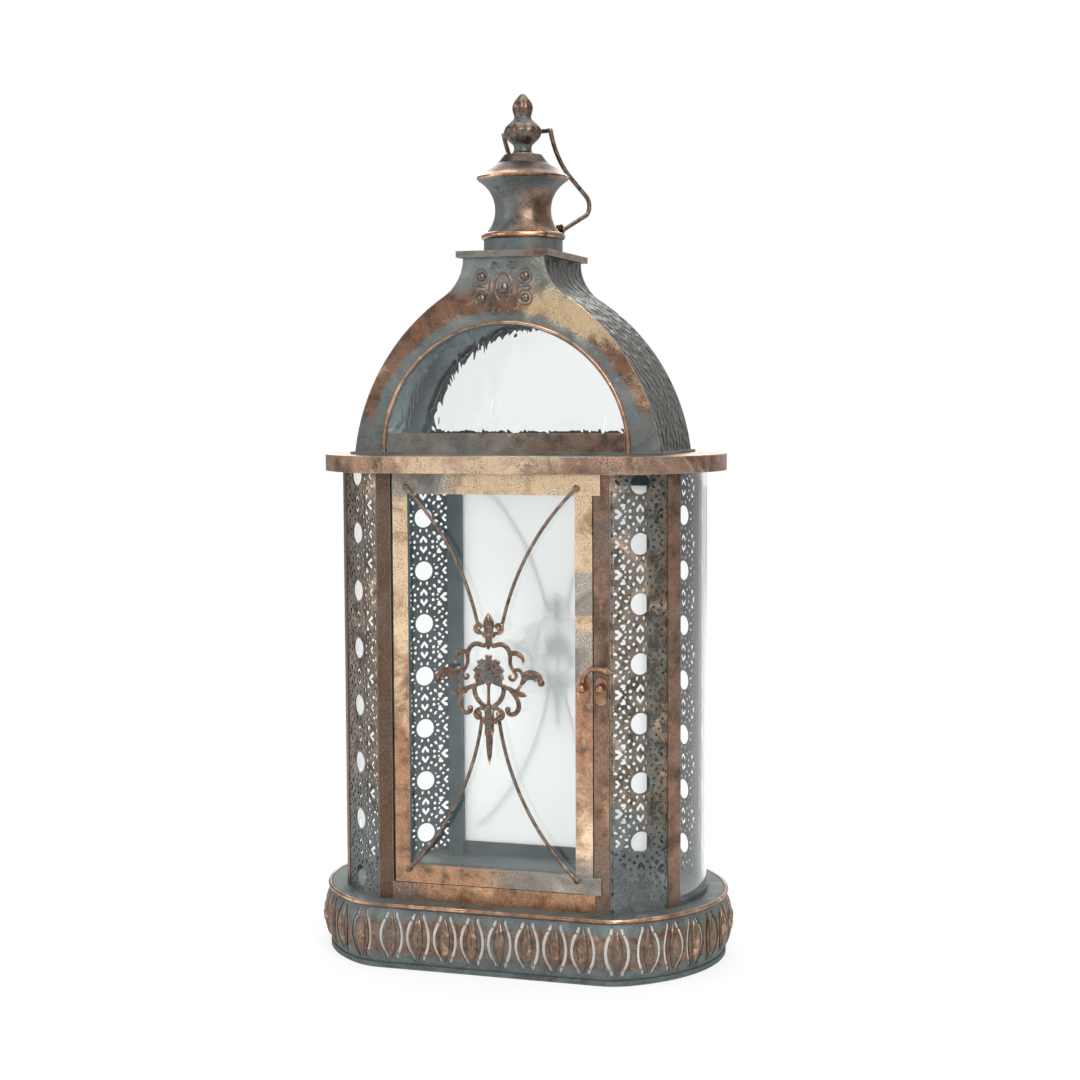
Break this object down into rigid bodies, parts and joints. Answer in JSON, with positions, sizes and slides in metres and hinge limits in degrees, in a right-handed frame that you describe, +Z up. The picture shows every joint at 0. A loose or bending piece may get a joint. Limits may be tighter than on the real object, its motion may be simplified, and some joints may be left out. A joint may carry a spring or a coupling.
{
  "type": "candle lantern",
  "caption": "Oblong metal candle lantern with a pierced base, glazed walls, a hinged glass door with a hook latch, an arched roof with windows, a spun cap and a wire bail.",
  "frame": {"origin": "centre of the foot rim on the floor", "axes": "+Z up, -Y out through the door, +X to the latch side of the door"},
  "size_m": [0.366, 0.231, 0.7516],
  "materials": {
    "patina_rim": "blue-green verdigris over dark sheet",
    "band_copper": "rubbed antique copper, dark in the hollows",
    "liner_white": "matt off-white",
    "bright_bead": "bright rubbed copper",
    "post_copper": "brown copper with speckled wear",
    "panel_dark": "dark grey-green with brown wear",
    "clear_glass": "clear sheet glass",
    "wavy_glass": "hammered glass",
    "door_copper": "rubbed speckled copper with grey-green patina",
    "roof_copper": "copper with blue-grey patina",
    "hammered_dark": "hammered sheet, dark grey-green",
    "cap_patina": "grey-green patina with copper edges",
    "bronze_wire": "dark bronze",
    "cast_copper": "cast metal, rubbed copper on dark bronze",
    "brass_latch": "rubbed antique brass",
    "steel": "plain steel"
  },
  "bodies": {
    "lantern": {"foot_rim": "patina_rim", "base_band": "band_copper", "base_liner": "liner_white", "base_top": "patina_rim", "ledge_bead": "bright_bead", "post_front_left": "post_copper", "post_front_right": "post_copper", "post_rear_left": "post_copper", "post_rear_right": "post_copper", "side_post_front_left": "post_copper", "side_post_front_right": "post_copper", "side_post_rear_left": "post_copper", "side_post_rear_right": "post_copper", "panel_front_left": "panel_dark", "panel_front_right": "panel_dark", "panel_rear_left": "panel_dark", "panel_rear_right": "panel_dark", "side_glass_left": "clear_glass", "side_glass_right": "clear_glass", "glass_track_left": "bronze_wire", "glass_track_right": "bronze_wire", "front_sill": "door_copper", "rear_bottom_rail": "post_copper", "rear_top_rail": "post_copper", "rear_glass": "clear_glass", "rear_arcs": "bronze_wire", "rear_ornament": "cast_copper", "latch_stud": "brass_latch", "eave_soffit": "patina_rim", "eave_plate": "door_copper", "roof_flange": "patina_rim", "roof_front": "roof_copper", "roof_rear": "roof_copper", "roof_side_left": "hammered_dark", "roof_side_right": "hammered_dark", "roof_glass_front": "wavy_glass", "roof_glass_rear": "wavy_glass", "window_bead_front": "bright_bead", "window_bead_rear": "bright_bead", "window_rail_front": "door_copper", "window_rail_rear": "door_copper", "roof_bosses": "roof_copper", "collar_plate": "roof_copper", "chimney": "cap_patina", "cap": "cap_patina", "finial": "cap_patina", "finial_screw": "steel", "bail_ears": "bronze_wire"},
    "door": {"door_frame": "door_copper", "door_glass": "clear_glass", "door_glass_clips": "steel", "door_arcs": "bronze_wire", "door_ornament": "cast_copper", "door_pivots": "steel", "latch_plate": "brass_latch"},
    "latch": {"latch_hook": "brass_latch"},
    "bail": {"bail": "bronze_wire"}
  },
  "joints": [
    {"name": "door_hinge", "type": "hinge", "parent": "lantern", "child": "door", "pos_m": [-0.085, -0.092, 0.25], "axis": [0, 0, -1], "range_deg": [0, 100]},
    {"name": "latch_pivot", "type": "hinge", "parent": "door", "child": "latch", "pos_m": [0.0815, -0.1, 0.2471], "axis": [0, -1, 0], "range_deg": [0, 95]},
    {"name": "bail_swing", "type": "hinge", "parent": "lantern", "child": "bail", "pos_m": [0.01269, 0.03793, 0.6358], "axis": [-0.9483, 0.3173, 0], "range_deg": [0, 55]}
  ]
}
